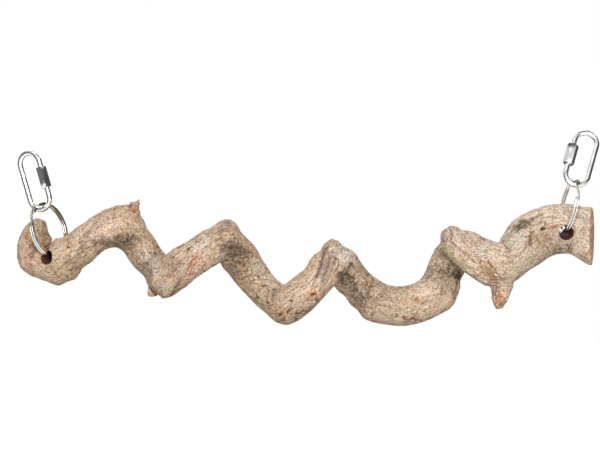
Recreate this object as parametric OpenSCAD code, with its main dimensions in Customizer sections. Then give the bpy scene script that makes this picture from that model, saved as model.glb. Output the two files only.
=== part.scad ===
// A hanging bird perch: a length of twisted corkscrew vine, drilled near both ends, with a
// split ring through each hole and a quick link on each ring.
// X runs along the perch, Y goes to the back and Z is up. The origin is the place where a
// hook bears in the top bow of the left quick link.

/* [Vine] */
// Length of the vine from its left bend to its cut end
perch_length = 400; // [340:5:480]
// Diameter of the vine on a plain stretch
vine_diameter = 25; // [22:0.5:28]
// Height that the middle line of the vine winds through
twist_height = 56; // [48:1:64]
// Depth that the middle line of the vine winds through
twist_depth = 30; // [24:1:36]
// Depth of the furrows that wind along the bark
furrow_depth = 0.9; // [0.2:0.1:1.4]

/* [Twig stubs] */
// Diameter of the broken twig at the first crest
top_twig_diameter = 8; // [5:0.5:10]
// How far the broken twig stands up from the crest
top_twig_height = 8; // [4:0.5:12]
// Diameter of the small stub under the first trough
small_stub_diameter = 7; // [4:0.5:9]
// How far the small stub stands out
small_stub_height = 5; // [2:0.5:8]
// Diameter of the cut stub under the right-hand limb
low_stub_diameter = 13; // [9:0.5:15]
// How far the cut stub stands out
low_stub_height = 14; // [8:0.5:20]

/* [Holes] */
// Diameter of the left hole
left_hole_diameter = 9; // [8.5:0.1:10]
// Diameter of the right hole
right_hole_diameter = 10; // [9:0.1:11]

/* [Split rings] */
// Outer diameter of a split ring
ring_diameter = 40; // [39:0.5:46]
// Height of the ring wire, measured outwards from the ring's centre
ring_wire_height = 2.4; // [1.8:0.1:2.6]
// Width of the ring wire, measured along the ring's axis
ring_wire_width = 1.2; // [0.8:0.1:1.6]
// Gap between the two turns of a ring
turn_gap = 0.45; // [0.42:0.01:0.6]

/* [Quick links] */
// Length of a quick link over its bows
link_length = 44.2; // [42:0.2:60]
// Width of a quick link over its legs
link_width = 19.6; // [18:0.2:26]
// Diameter of the link wire
link_wire = 3.8; // [3.2:0.1:4.4]
// Width of the gate that the nut closes
gate_width = 4; // [3:0.1:5]

/* [Link nuts] */
// Length of a link nut
nut_length = 15; // [12:0.5:16]
// Width of a link nut across its flats
nut_flats = 7; // [6.5:0.1:9]

/* [Running clearances] */
// Clearance between a ring's wire and the upper edges of its hole
seat_clearance = 0.3; // [0.2:0.05:0.4]
// Clearance between a ring's wire and the bow of its link as the link swings
swing_clearance = 0.15; // [0.1:0.05:0.3]
// Clearance all round between a nut's bore and the link wire
nut_clearance = 0.06; // [0.04:0.01:0.12]

/* [Hidden] */

// Leans are turns about Y, positive towards +X, and turns are about the piece's own length
left_ring_lean = -16;
right_ring_lean = 13;
left_ring_turn = -30;
right_ring_turn = 8;
left_link_lean = -16;
right_link_lean = 18;
left_link_turn = -26;
right_link_turn = -2;
// Nods are turns about X, positive towards the front
right_link_nod = -20;

vine_radius = vine_diameter / 2;
round_sides = 64;
// One overrun serves every cut
cut_overrun = 2 * vine_diameter;

// Middle line of the vine from its left tip to its cut end. Each row holds shares:
// [along the length, of the twist depth, of the twist height, of the vine radius,
// depth of the section as a share of its height]
vine_shares = [
    [0.034,  0.37,  0.520, 0.58, 1.00],
    [0.028,  0.30,  0.390, 0.77, 1.00],
    [0.024,  0.20,  0.235, 0.94, 1.00],
    [0.028,  0.10,  0.090, 1.05, 1.00],
    [0.046,  0.00,  0.005, 1.08, 0.92],
    [0.069, -0.11, -0.015, 1.18, 0.86],
    [0.096, -0.30,  0.105, 1.10, 0.94],
    [0.124, -0.43,  0.252, 0.90, 1.00],
    [0.149, -0.37,  0.402, 1.04, 1.00],
    [0.175, -0.13,  0.490, 1.17, 1.00],
    [0.200,  0.17,  0.340, 0.99, 1.00],
    [0.224,  0.40,  0.048, 0.96, 1.00],
    [0.243,  0.30, -0.122, 1.03, 1.00],
    [0.260,  0.07, -0.200, 1.12, 1.00],
    [0.283, -0.27, -0.040, 1.03, 1.00],
    [0.312, -0.43,  0.080, 0.96, 1.00],
    [0.338, -0.37,  0.230, 1.05, 1.00],
    [0.360, -0.10,  0.300, 1.13, 1.00],
    [0.380,  0.23,  0.110, 1.06, 1.00],
    [0.401,  0.43, -0.138, 0.98, 1.00],
    [0.428,  0.37, -0.345, 0.91, 1.00],
    [0.462,  0.03, -0.535, 1.12, 1.00],
    [0.495, -0.33, -0.370, 0.97, 1.00],
    [0.524, -0.47, -0.205, 0.89, 1.00],
    [0.550, -0.17,  0.080, 1.09, 1.00],
    [0.570,  0.23, -0.130, 0.97, 1.00],
    [0.597,  0.43, -0.355, 1.04, 1.00],
    [0.628,  0.37, -0.510, 1.10, 1.00],
    [0.663,  0.20, -0.560, 1.12, 1.00],
    [0.702,  0.17, -0.490, 1.12, 1.00],
    [0.733,  0.33, -0.320, 1.13, 1.00],
    [0.747,  0.40, -0.075, 1.03, 1.00],
    [0.758,  0.23,  0.150, 0.97, 1.00],
    [0.763, -0.10,  0.272, 1.04, 1.00],
    [0.790, -0.40,  0.070, 1.00, 1.00],
    [0.817, -0.47,  0.010, 1.17, 1.00],
    [0.845, -0.37,  0.000, 1.20, 1.00],
    [0.877, -0.17,  0.208, 1.34, 0.82],
    [0.908, -0.05,  0.360, 1.38, 0.68],
    [0.937,  0.00,  0.422, 1.40, 0.57],
    [0.969, -0.03,  0.417, 1.37, 0.58],
    [0.995, -0.13,  0.345, 1.58, 0.64],
    [1.025, -0.24,  0.320, 1.70, 0.66],
];

// Middle of each hole, as shares along the length, of the twist depth and of the twist height
left_hole_shares = [0.066, -0.14, 0.090];
right_hole_shares = [0.947, -0.01, 0.375];
// Turn of the sawn end's face towards the front
cut_turn = 15;
// Half the wood between a hole's two mouths along its upper edge, as a share of the radius
left_seat_share = 0.85;
right_seat_share = 0.815;

vine_rings = 132;
vine_sides = 24;
steps_per_row = 6;
smoothing_passes = 2;
// A section faces along the line between the middles this many rings before and after it
facing_rings = 3;
// Foot of each twig stub on the middle line's scale, and how it leans and nods from upright
top_twig_shares = [0.199, 0.12, 0.620];
top_twig_lean = 14;
top_twig_nod = -10;
small_stub_shares = [0.235, 0.10, -0.330];
small_stub_lean = 200;
small_stub_nod = 0;
low_stub_shares = [0.838, -0.35, -0.290];
low_stub_lean = 180;
low_stub_nod = 8;
// Sections of a twig stub: [height as a share, radius as a share, share by which it slants]
twig_shares = [
    [-0.80, 1.30, 0.00],
    [ 0.00, 1.12, 0.00],
    [ 0.45, 0.92, 0.05],
    [ 0.80, 0.80, 0.20],
    [ 0.97, 0.62, 0.35],
];
twig_sides = 12;
// Ridges of a twig stub: how high they are, how many, and how far they turn along its height
twig_ridge_share = 0.10;
twig_ridge_count = 3;
twig_ridge_turn = 200;
// Rings over which the left tip is rounded off, and how blunt its first ring is
tip_rings = 3;
tip_blunt_share = 0.6;
// Furrows round the vine, and how far they turn along one vine diameter
furrow_count = 3;
furrow_turn = 38;

function unit(v) = v / norm(v);
function curve(a, b, c, d, t) =
    (2 * b + (c - a) * t + (2 * a - 5 * b + 4 * c - d) * t * t + (3 * b - a - 3 * c + d) * t * t * t) / 2;
function last(list) = list[len(list) - 1];

// Rows of shares turned to sizes: [x, y, z, section height radius, section depth radius]
vine_scale = [perch_length, twist_depth, twist_height];
function to_sizes(row) =
    [row[0] * vine_scale[0], row[1] * vine_scale[1], row[2] * vine_scale[2],
     row[3] * vine_radius, row[3] * row[4] * vine_radius];
vine_rows = [for (row = vine_shares) to_sizes(row)];
padded_rows = concat([2 * vine_rows[0] - vine_rows[1]], vine_rows,
                     [2 * last(vine_rows) - vine_rows[len(vine_rows) - 2]]);
curved_rows = concat(
    [for (i = [1 : len(vine_rows) - 1])
        for (j = [0 : steps_per_row - 1])
            curve(padded_rows[i - 1], padded_rows[i], padded_rows[i + 1], padded_rows[i + 2],
                  j / steps_per_row)],
    [last(vine_rows)]);

function place(row) = [row[0], row[1], row[2]];
function step_length(rows, i) = i + 1 < len(rows) ? norm(place(rows[i + 1]) - place(rows[i])) : 0;
function run_lengths(rows) =
    [for (i = 0, run = 0; i < len(rows); run = run + step_length(rows, i), i = i + 1) run];

// The same line in even steps, then smoothed
function even_rows(rows, runs, count) =
    [for (i = [0 : count - 1])
        [for (k = [0 : len(rows[0]) - 1])
            lookup(last(runs) * i / (count - 1), [for (j = [0 : len(rows) - 1]) [runs[j], rows[j][k]]])]];
function smoothed(rows, passes) =
    passes == 0 ? rows :
    smoothed([for (i = [0 : len(rows) - 1])
        i == 0 || i == len(rows) - 1 ? rows[i] : (rows[i - 1] + 2 * rows[i] + rows[i + 1]) / 4],
        passes - 1);
vine_line = smoothed(even_rows(curved_rows, run_lengths(curved_rows), vine_rings), smoothing_passes);

// Outline of one section of the vine, with its winding furrows
function tip_share(i) =
    i >= tip_rings ? 1 : sqrt(1 - pow(1 - (i + tip_blunt_share) / (tip_rings + tip_blunt_share), 2));
function furrow(angle, run) =
    furrow_depth * (cos(furrow_count * (angle - furrow_turn * run / vine_diameter)) - 1) / 2;
function section(rows, i, run) =
    let (ahead = place(rows[min(i + facing_rings, len(rows) - 1)]),
         behind = place(rows[max(i - facing_rings, 0)]),
         along = unit(ahead - behind),
         up = unit(cross(along, [0, 1, 0])),
         side = cross(along, up))
    [for (k = [0 : vine_sides - 1])
        let (angle = -360 * k / vine_sides,
             relief = furrow(angle, run) * tip_share(i))
        place(rows[i])
            + up * cos(angle) * (rows[i][3] * tip_share(i) + relief)
            + side * sin(angle) * (rows[i][4] * tip_share(i) + relief)];

// A closed skin over a stack of sections with the same number of sides
module skin(sections) {
    sides = len(sections[0]);
    count = len(sections);
    points = [for (ring = sections) each ring];
    walls = [for (i = [0 : count - 2])
        for (k = [0 : sides - 1])
            let (a = i * sides + k, b = i * sides + (k + 1) % sides)
            each [[a, b, b + sides], [a, b + sides, a + sides]]];
    first_cap = [for (k = [1 : sides - 2]) [0, k + 1, k]];
    last_cap = [for (k = [1 : sides - 2])
        [(count - 1) * sides, (count - 1) * sides + k, (count - 1) * sides + k + 1]];
    polyhedron(points = points, faces = concat(walls, first_cap, last_cap), convexity = 8);
}

// A broken twig: a short tapering limb with a slanting end
function twig_ring(row, radius, height) =
    [for (k = [0 : twig_sides - 1])
        let (angle = -360 * k / twig_sides,
             ridge = sin(twig_ridge_count * angle + twig_ridge_turn * row[0]),
             reach = radius * row[1] * (1 + twig_ridge_share * ridge))
        [reach * cos(angle), reach * sin(angle),
         row[0] * height + row[2] * radius * cos(angle) - (row[0] < 0 ? radius : 0)]];

module twig(shares, lean, nod, diameter, height) {
    translate(vine_start + at_shares(shares))
        rotate([0, lean, 0])
            rotate([nod, 0, 0])
                skin([for (row = twig_shares) twig_ring(row, diameter / 2, height)]);
}

// Where the pieces hang. A ring hangs from the bottom bow of its link, and the wood rests on
// the ring at the upper edges of its hole's two mouths.
ring_outer_radius = ring_diameter / 2;
ring_inner_radius = ring_outer_radius - ring_wire_height;
ring_wire_radius = ring_outer_radius - ring_wire_height / 2;
link_bow_radius = (link_width - link_wire) / 2;
link_leg = link_length - link_width;
link_rise = link_length - link_wire;
hook_rise = link_rise - link_wire / 2;
// A link swings about the ring's wire, so its bow clears the corners of both turns. A corner
// starts at this share of half the wire's width and half its height.
corner_share = 0.42;
ring_turn_pitch = ring_wire_width + turn_gap;
ring_corner_reach = norm([ring_turn_pitch + corner_share * ring_wire_width, ring_wire_height]) / 2;
bow_to_ring_centre = ring_wire_radius - ring_corner_reach - swing_clearance - link_wire / 2;

function leaning(lean, turn, v) =
    let (x = v[0] * cos(turn) - v[1] * sin(turn),
         y = v[0] * sin(turn) + v[1] * cos(turn))
    [x * cos(lean) + v[2] * sin(lean), y, v[2] * cos(lean) - x * sin(lean)];
function hole_drop(seat_share, hole_diameter) =
    sqrt(pow(ring_inner_radius, 2) - pow(seat_share * vine_radius, 2)) - seat_clearance
        + hole_diameter / 2;

left_up = leaning(left_ring_lean, 0, [0, 0, 1]);
right_up = leaning(right_ring_lean, 0, [0, 0, 1]);
left_bow = -hook_rise * leaning(left_link_lean, 0, [0, 0, 1]);
left_ring_centre = left_bow - bow_to_ring_centre * left_up;
left_hole = left_ring_centre - hole_drop(left_seat_share, left_hole_diameter) * left_up;
function at_shares(shares) =
    [shares[0] * vine_scale[0], shares[1] * vine_scale[1], shares[2] * vine_scale[2]];
vine_start = left_hole - at_shares(left_hole_shares);
right_hole = vine_start + at_shares(right_hole_shares);
right_ring_centre = right_hole + hole_drop(right_seat_share, right_hole_diameter) * right_up;
right_bow = right_ring_centre + bow_to_ring_centre * right_up;

module leaned(at, lean, turn, nod = 0) {
    translate(at)
        rotate([0, lean, 0])
            rotate([nod, 0, 0])
                rotate([0, 0, turn])
                    children();
}

module hole(at, lean, turn, diameter) {
    leaned(at, lean, turn)
        rotate([90, 0, 0])
            cylinder(d = diameter, h = cut_overrun, center = true, $fn = round_sides);
}

module perch_branch() {
    runs = run_lengths(vine_line);
    color("burlywood")
        difference() {
            union() {
                translate(vine_start)
                    skin([for (i = [0 : vine_rings - 1]) section(vine_line, i, runs[i])]);
                twig(top_twig_shares, top_twig_lean, top_twig_nod, top_twig_diameter, top_twig_height);
                twig(small_stub_shares, small_stub_lean, small_stub_nod, small_stub_diameter,
                     small_stub_height);
                twig(low_stub_shares, low_stub_lean, low_stub_nod, low_stub_diameter, low_stub_height);
            }
            translate(vine_start + [perch_length, 0, 0])
                rotate([0, 0, -cut_turn])
                    translate([0, -cut_overrun, -cut_overrun])
                        cube(2 * cut_overrun);
            hole(left_hole, left_ring_lean, left_ring_turn, left_hole_diameter);
            hole(right_hole, right_ring_lean, right_ring_turn, right_hole_diameter);
        }
}

// Split ring: flat spring wire in two turns. It starts at zero degrees on the first turn,
// crosses to the second turn just before it passes its own start, and ends where the crossing
// starts.
crossing_start = 332;
crossing_end = 357;
ring_end = 690;
ring_step = 7.5;
sections_per_turn = 360 / ring_step;
ring_sections = ring_end / ring_step + 1;
// Where the start of each ring's wire lies, turned about the ring's axis from its top
left_start_angle = 70;
right_start_angle = 70;
ring_profile_shares = [
    [-corner_share, -1], [corner_share, -1], [1, -corner_share], [1, corner_share],
    [corner_share, 1], [-corner_share, 1], [-1, corner_share], [-1, -corner_share],
];
function ease(t) = t <= 0 ? 0 : t >= 1 ? 1 : t * t * (3 - 2 * t);
function ring_offset(angle) =
    ring_turn_pitch * (ease((angle - crossing_start) / (crossing_end - crossing_start)) - 1 / 2);
function ring_section(angle) =
    [for (corner = ring_profile_shares)
        let (reach = ring_wire_radius + corner[1] * ring_wire_height / 2)
        [ring_offset(angle) + corner[0] * ring_wire_width / 2, reach * sin(angle), reach * cos(angle)]];

ring_skin = [for (i = [0 : ring_sections - 1]) ring_section(i * ring_step)];

// Least gap between the two turns of a ring, measured from point to point
nearby_sections = 3;
ring_least_gap = min([
    for (i = [0 : ring_sections - 1])
        for (j = [i + sections_per_turn - nearby_sections
                : min(i + sections_per_turn + nearby_sections, ring_sections - 1)])
            for (here = ring_skin[i])
                for (there = ring_skin[j])
                    norm(here - there)]);
echo(ring_least_gap = ring_least_gap);

module split_ring(at, lean, turn, start_angle) {
    leaned(at, lean, turn)
        rotate([start_angle, 0, 0])
            skin(ring_skin);
}

module left_ring() {
    color("silver")
        split_ring(left_ring_centre, left_ring_lean, left_ring_turn, left_start_angle);
}

module right_ring() {
    color("silver")
        split_ring(right_ring_centre, right_ring_lean, right_ring_turn, right_start_angle);
}

// Quick link in its own frame: its bottom bow's wire centre is at the origin, its length
// runs up Z and its gate is on the +X leg
thread_pitch = 0.7;
thread_depth = 0.3;
// Straight wire between the top bow and the nut, and how far the nut goes over the upper thread
straight_above_nut = 3.9;
upper_thread_length = 1.6;
nut_top = link_rise - link_bow_radius - straight_above_nut;
gate_top = nut_top - upper_thread_length;
gate_bottom = gate_top - gate_width;
nut_bottom = nut_top - nut_length;
link_sides = 48;

module wire_bow(height, flip) {
    translate([0, 0, height])
        rotate([90, 0, 0])
            rotate([0, 0, flip])
                rotate_extrude(angle = 180, $fn = link_sides)
                    translate([link_bow_radius, 0])
                        circle(d = link_wire, $fn = link_sides);
}

module leg(x, low, high) {
    translate([x, 0, low])
        cylinder(d = link_wire, h = high - low, $fn = link_sides);
}

// Threaded rod with its ridges as rings
module thread(x, low, high) {
    ridges = floor((high - low) / thread_pitch);
    start = high - ridges * thread_pitch;
    profile = concat([[0, low], [link_wire / 2 - thread_depth, low]],
        [for (i = [0 : ridges - 1])
            each [[link_wire / 2 - thread_depth, start + i * thread_pitch],
                  [link_wire / 2, start + (i + 0.5) * thread_pitch]]],
        [[link_wire / 2 - thread_depth, high], [0, high]]);
    translate([x, 0, 0])
        rotate_extrude($fn = link_sides)
            polygon(profile);
}

module quick_link() {
    wire_bow(link_bow_radius, 180);
    wire_bow(link_rise - link_bow_radius, 0);
    leg(-link_bow_radius, link_bow_radius, link_rise - link_bow_radius);
    leg(link_bow_radius, link_bow_radius, nut_bottom + thread_pitch);
    thread(link_bow_radius, nut_bottom, gate_bottom);
    leg(link_bow_radius, nut_top - thread_pitch, link_rise - link_bow_radius);
    thread(link_bow_radius, gate_top, nut_top);
}

// A nut's ends are rounded off by a cone that starts just inside its flats
nut_face_share = 0.95;
nut_cone_angle = 30;
nut_corner_radius = nut_flats / cos(30) / 2;
nut_face_radius = nut_face_share * nut_flats / 2;
nut_cone_height = (nut_corner_radius - nut_face_radius) * tan(nut_cone_angle);

module nut_turning() {
    rotate_extrude($fn = round_sides)
        polygon([
            [0, 0], [nut_face_radius, 0],
            [nut_corner_radius, nut_cone_height], [nut_corner_radius, nut_length - nut_cone_height],
            [nut_face_radius, nut_length], [0, nut_length],
        ]);
}

module link_nut() {
    translate([link_bow_radius, 0, nut_bottom])
        difference() {
            intersection() {
                cylinder(r = nut_corner_radius, h = nut_length, $fn = 6);
                nut_turning();
            }
            translate([0, 0, -nut_length / 2])
                cylinder(d = link_wire + 2 * nut_clearance, h = 2 * nut_length, $fn = link_sides);
        }
}

module left_link() {
    color("gainsboro") leaned(left_bow, left_link_lean, left_link_turn) quick_link();
}

module right_link() {
    color("gainsboro")
        leaned(right_bow, right_link_lean, right_link_turn, right_link_nod)
            mirror([1, 0, 0])
                quick_link();
}

module left_link_nut() {
    color("dimgray") leaned(left_bow, left_link_lean, left_link_turn) link_nut();
}

module right_link_nut() {
    color("whitesmoke")
        leaned(right_bow, right_link_lean, right_link_turn, right_link_nod)
            mirror([1, 0, 0])
                link_nut();
}

perch_branch();
left_ring();
right_ring();
left_link();
right_link();
left_link_nut();
right_link_nut();
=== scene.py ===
# Looks of a hanging bird perch: a length of corkscrew vine with its bark on, two split rings
# and two quick links. Everything is in metres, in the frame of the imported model.
import math

import bpy
import numpy as np
from mathutils import Matrix, Vector, kdtree


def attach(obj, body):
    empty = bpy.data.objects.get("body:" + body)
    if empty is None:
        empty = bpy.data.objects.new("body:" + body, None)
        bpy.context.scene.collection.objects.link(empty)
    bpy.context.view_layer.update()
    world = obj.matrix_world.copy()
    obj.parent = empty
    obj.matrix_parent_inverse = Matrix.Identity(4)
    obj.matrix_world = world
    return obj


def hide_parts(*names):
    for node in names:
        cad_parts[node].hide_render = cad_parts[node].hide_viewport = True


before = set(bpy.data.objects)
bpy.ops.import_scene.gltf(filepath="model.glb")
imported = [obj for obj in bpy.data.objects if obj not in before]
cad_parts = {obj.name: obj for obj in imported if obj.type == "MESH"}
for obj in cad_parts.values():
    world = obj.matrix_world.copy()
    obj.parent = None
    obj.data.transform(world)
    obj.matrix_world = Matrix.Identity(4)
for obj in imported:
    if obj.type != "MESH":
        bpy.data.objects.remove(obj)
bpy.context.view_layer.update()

MM = 0.001

# Vine
VINE_LENGTH = 400 * MM
VINE_RADIUS = 12.5 * MM
TWIST_DEPTH = 30 * MM
TWIST_HEIGHT = 56 * MM
# Middle line of the vine: shares along the length, of the twist depth and of the twist height
VINE_SHARES = [
    (0.034, 0.37, 0.520), (0.028, 0.30, 0.390), (0.024, 0.20, 0.235), (0.028, 0.10, 0.090),
    (0.046, 0.00, 0.005), (0.069, -0.11, -0.015), (0.096, -0.30, 0.105), (0.124, -0.43, 0.252),
    (0.149, -0.37, 0.402), (0.175, -0.13, 0.490), (0.200, 0.17, 0.340), (0.224, 0.40, 0.048),
    (0.243, 0.30, -0.122), (0.260, 0.07, -0.200), (0.283, -0.27, -0.040), (0.312, -0.43, 0.080),
    (0.338, -0.37, 0.230), (0.360, -0.10, 0.300), (0.380, 0.23, 0.110), (0.401, 0.43, -0.138),
    (0.428, 0.37, -0.345), (0.462, 0.03, -0.535), (0.495, -0.33, -0.370), (0.524, -0.47, -0.205),
    (0.550, -0.17, 0.080), (0.570, 0.23, -0.130), (0.597, 0.43, -0.355), (0.628, 0.37, -0.510),
    (0.663, 0.20, -0.560), (0.702, 0.17, -0.490), (0.733, 0.33, -0.320), (0.747, 0.40, -0.075),
    (0.758, 0.23, 0.150), (0.763, -0.10, 0.272), (0.790, -0.40, 0.070), (0.817, -0.47, 0.010),
    (0.845, -0.37, 0.000), (0.877, -0.17, 0.208), (0.908, -0.05, 0.360), (0.937, 0.00, 0.422),
    (0.969, -0.03, 0.417), (0.995, -0.13, 0.345), (1.025, -0.24, 0.320),
]
CUT_TURN = 15

# Holes, as shares along the vine, of the twist depth and of the twist height
LEFT_HOLE_SHARES = (0.066, -0.14, 0.090)
RIGHT_HOLE_SHARES = (0.947, -0.01, 0.375)
LEFT_HOLE_DIAMETER = 9 * MM
RIGHT_HOLE_DIAMETER = 10 * MM
LEFT_SEAT_SHARE = 0.85
RIGHT_SEAT_SHARE = 0.815
SEAT_CLEARANCE = 0.3 * MM

# Split rings
RING_DIAMETER = 40 * MM
RING_WIRE_HEIGHT = 2.4 * MM
RING_WIRE_WIDTH = 1.2 * MM
TURN_GAP = 0.45 * MM
CORNER_SHARE = 0.42
# Angles along the wire, in degrees: where it crosses to the second turn, and where it ends
CROSSING_START = 332
CROSSING_END = 357
RING_END = 690
RING_START_ANGLE = 70

# Quick links and their nuts
LINK_LENGTH = 44.2 * MM
LINK_WIDTH = 19.6 * MM
LINK_WIRE = 3.8 * MM
SWING_CLEARANCE = 0.15 * MM
GATE_WIDTH = 4 * MM
THREAD_PITCH = 0.7 * MM
THREAD_DEPTH = 0.3 * MM
STRAIGHT_ABOVE_NUT = 3.9 * MM
UPPER_THREAD_LENGTH = 1.6 * MM
NUT_LENGTH = 15 * MM
NUT_FLATS = 7 * MM
NUT_CLEARANCE = 0.06 * MM
NUT_FACE_SHARE = 0.95
COUNTERSINK = 0.35 * MM

# Leans are turns about Y, turns are about the piece's own length and nods are about X, in degrees
LEFT_RING_LEAN = -16
RIGHT_RING_LEAN = 13
LEFT_RING_TURN = -30
RIGHT_RING_TURN = 8
LEFT_LINK_LEAN = -16
RIGHT_LINK_LEAN = 18
LEFT_LINK_TURN = -26
RIGHT_LINK_TURN = -2
RIGHT_LINK_NOD = -20

# Steps, sides and smoothing angles of the steel pieces
CROSSING_STEPS = 8
TURN_STEPS = 110
RING_CORNER_STEPS = 5
WIRE_SIDES = 32
BOW_STEPS = 28
THREAD_TURN_STEPS = 6
NUT_TURNING_SIDES = 64
RING_SMOOTH_ANGLE = 40
LINK_SMOOTH_ANGLE = 35
NUT_SMOOTH_ANGLE = 25
# How far below the leg the thread stops, and how near to the gate a point is on its edge
THREAD_RUN_OUT = 0.2 * MM
GATE_EDGE_REACH = 0.05 * MM
# Bevel of the nut's edges, and how the turned blank's width compares with the nut's corners
NUT_BEVEL = 0.28 * MM
NUT_BEVEL_ANGLE = 28
BLANK_SHARE = 1.001
# Points nearer than this are joined, and a drill starts this far outside the nut
MERGE_DISTANCE = 0.001 * MM
OVERRUN = 0.01 * MM

# Mesh of the vine: spacing of its points, number of its triangles and smoothing
VINE_VOXEL = 0.72 * MM
VINE_TRIANGLES = 190000
VINE_SMOOTH_STEPS = 8
VINE_SMOOTH_ANGLE = 60
# Middle line: share of a stretch between its points, then their even spacing. Its turning is
# averaged over some steps and says how far a point lies inside a bend.
CURVE_STEP = 0.1
LINE_STEP = 0.5 * MM
TURNING_STEPS = 25
TURNING_GAIN = 1.6
# Bark: how far its lumps and cracks reach, and the relief at which its surface stays where it is
LUMP_HEIGHT = 0.45 * MM
VINE_SWELL = 0.4 * MM
CRACK_DEPTH = 0.6 * MM
INNER_CRACK_DEPTH = 0.7 * MM
LEVEL_RELIEF = 0.75
# Beside a hole a share of the bark's height is left, which grows to all of it at the far reach
HOLE_BARK_SHARE = 0.3
HOLE_BARK_NEAR = 5 * MM
HOLE_BARK_FAR = 9 * MM

# Sawn end and drilled holes, and how near to the cut a point has its colour
SAW_SIZE = 200 * MM
SAW_DEPTH = 0.4 * MM
SAWN_REACH = 0.1 * MM
DRILL_REACH = 28 * MM
DRILL_SIDES = 64
DRILLED_REACH = 0.05 * MM
PITH = Vector((0.393, -0.003, -0.055))
GROWTH_RING = 2.2 * MM
# Wood left in the lower back of the right hole: place and slope of its top, length and bite
HOLE_FLOOR_HEIGHT = -2.2 * MM
HOLE_FLOOR_SLOPE = 12
HOLE_FLOOR_REACH = 10 * MM
HOLE_FLOOR_BITE = 0.3 * MM

# Places worked out from these sizes. The left link hangs from the origin.
BOW_RADIUS = (LINK_WIDTH - LINK_WIRE) / 2
LINK_RISE = LINK_LENGTH - LINK_WIRE
NUT_TOP = LINK_RISE - BOW_RADIUS - STRAIGHT_ABOVE_NUT
NUT_BOTTOM = NUT_TOP - NUT_LENGTH
GATE_TOP = NUT_TOP - UPPER_THREAD_LENGTH
GATE_BOTTOM = GATE_TOP - GATE_WIDTH
RING_WIRE_RADIUS = (RING_DIAMETER - RING_WIRE_HEIGHT) / 2
RING_PITCH = RING_WIRE_WIDTH + TURN_GAP
RING_CORNER_REACH = math.hypot(RING_PITCH + CORNER_SHARE * RING_WIRE_WIDTH, RING_WIRE_HEIGHT) / 2
BOW_TO_RING_CENTRE = RING_WIRE_RADIUS - RING_CORNER_REACH - SWING_CLEARANCE - LINK_WIRE / 2


def upward(lean):
    return Vector((math.sin(math.radians(lean)), 0, math.cos(math.radians(lean))))


def hole_drop(seat_share, hole_diameter):
    """How far the middle of a hole lies below the middle of its ring."""
    inner_radius = RING_DIAMETER / 2 - RING_WIRE_HEIGHT
    rise_above = math.sqrt(inner_radius ** 2 - (seat_share * VINE_RADIUS) ** 2)
    return rise_above - SEAT_CLEARANCE + hole_diameter / 2


def at_shares(along, deep, high):
    return Vector((along * VINE_LENGTH, deep * TWIST_DEPTH, high * TWIST_HEIGHT))


LEFT_BOW = -(LINK_RISE - LINK_WIRE / 2) * upward(LEFT_LINK_LEAN)
LEFT_RING_CENTRE = LEFT_BOW - BOW_TO_RING_CENTRE * upward(LEFT_RING_LEAN)
LEFT_HOLE = LEFT_RING_CENTRE - hole_drop(LEFT_SEAT_SHARE, LEFT_HOLE_DIAMETER) * upward(LEFT_RING_LEAN)
VINE_START = LEFT_HOLE - at_shares(*LEFT_HOLE_SHARES)
RIGHT_HOLE = VINE_START + at_shares(*RIGHT_HOLE_SHARES)
RIGHT_RING_CENTRE = RIGHT_HOLE + hole_drop(RIGHT_SEAT_SHARE, RIGHT_HOLE_DIAMETER) * upward(RIGHT_RING_LEAN)
RIGHT_BOW = RIGHT_RING_CENTRE + BOW_TO_RING_CENTRE * upward(RIGHT_RING_LEAN)
# The saw cuts off all that lies on the +X side of this frame
SAW_FRAME = (
    Matrix.Translation(VINE_START + Vector((VINE_LENGTH - SAW_DEPTH, 0, 0)))
    @ Matrix.Rotation(math.radians(-CUT_TURN), 4, "Z")
)


def leaned(at, lean, turn, nod=0):
    """Matrix that turns a piece from its own frame to its place on the perch."""
    return (
        Matrix.Translation(at)
        @ Matrix.Rotation(math.radians(lean), 4, "Y")
        @ Matrix.Rotation(math.radians(nod), 4, "X")
        @ Matrix.Rotation(math.radians(turn), 4, "Z")
    )


# Colours and nodes


def linear(hex_colour):
    """Linear RGBA of an sRGB colour written as hex."""
    channels = [int(hex_colour[i : i + 2], 16) / 255 for i in (1, 3, 5)]
    return tuple(c / 12.92 if c <= 0.04045 else ((c + 0.055) / 1.055) ** 2.4 for c in channels) + (1,)


def add_node(tree, kind, inputs=None, stops=None, **settings):
    """Adds a node, sets its values and links its sockets. Stops are a ramp's places and values."""
    node = tree.nodes.new(kind)
    for name, value in settings.items():
        setattr(node, name, value)
    for socket, value in (inputs or {}).items():
        if isinstance(value, bpy.types.NodeSocket):
            tree.links.new(value, node.inputs[socket])
        else:
            node.inputs[socket].default_value = value
    for index, (place, value) in enumerate(stops or []):
        if index >= len(node.color_ramp.elements):
            node.color_ramp.elements.new(place)
        element = node.color_ramp.elements[index]
        element.position = place
        element.color = linear(value) if isinstance(value, str) else (value, value, value, 1)
    return node


def new_material(name):
    material = bpy.data.materials.new(name)
    material.use_nodes = True
    material.node_tree.nodes.clear()
    return material, material.node_tree


def calculated(tree, operation, *values, **settings):
    """Output of a math node. The values are numbers or sockets."""
    node = add_node(tree, "ShaderNodeMath", dict(enumerate(values)), operation=operation, **settings)
    return node.outputs[0]


def mixed(tree, share, first, second):
    """Colour that turns from the first to the second as the share goes from 0 to 1."""
    return add_node(tree, "ShaderNodeMix", {0: share, 6: first, 7: second}, data_type="RGBA").outputs[2]


def ramped(tree, share, stops):
    return add_node(tree, "ShaderNodeValToRGB", {0: share}, stops).outputs[0]


def spotted(tree, place, size, detail, roughness=0.5):
    """Noise with spots of the given size, in the unit of the place."""
    return add_node(tree, "ShaderNodeTexNoise",
                    {"Vector": place, "Scale": 1 / size, "Detail": detail, "Roughness": roughness}).outputs[0]


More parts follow.
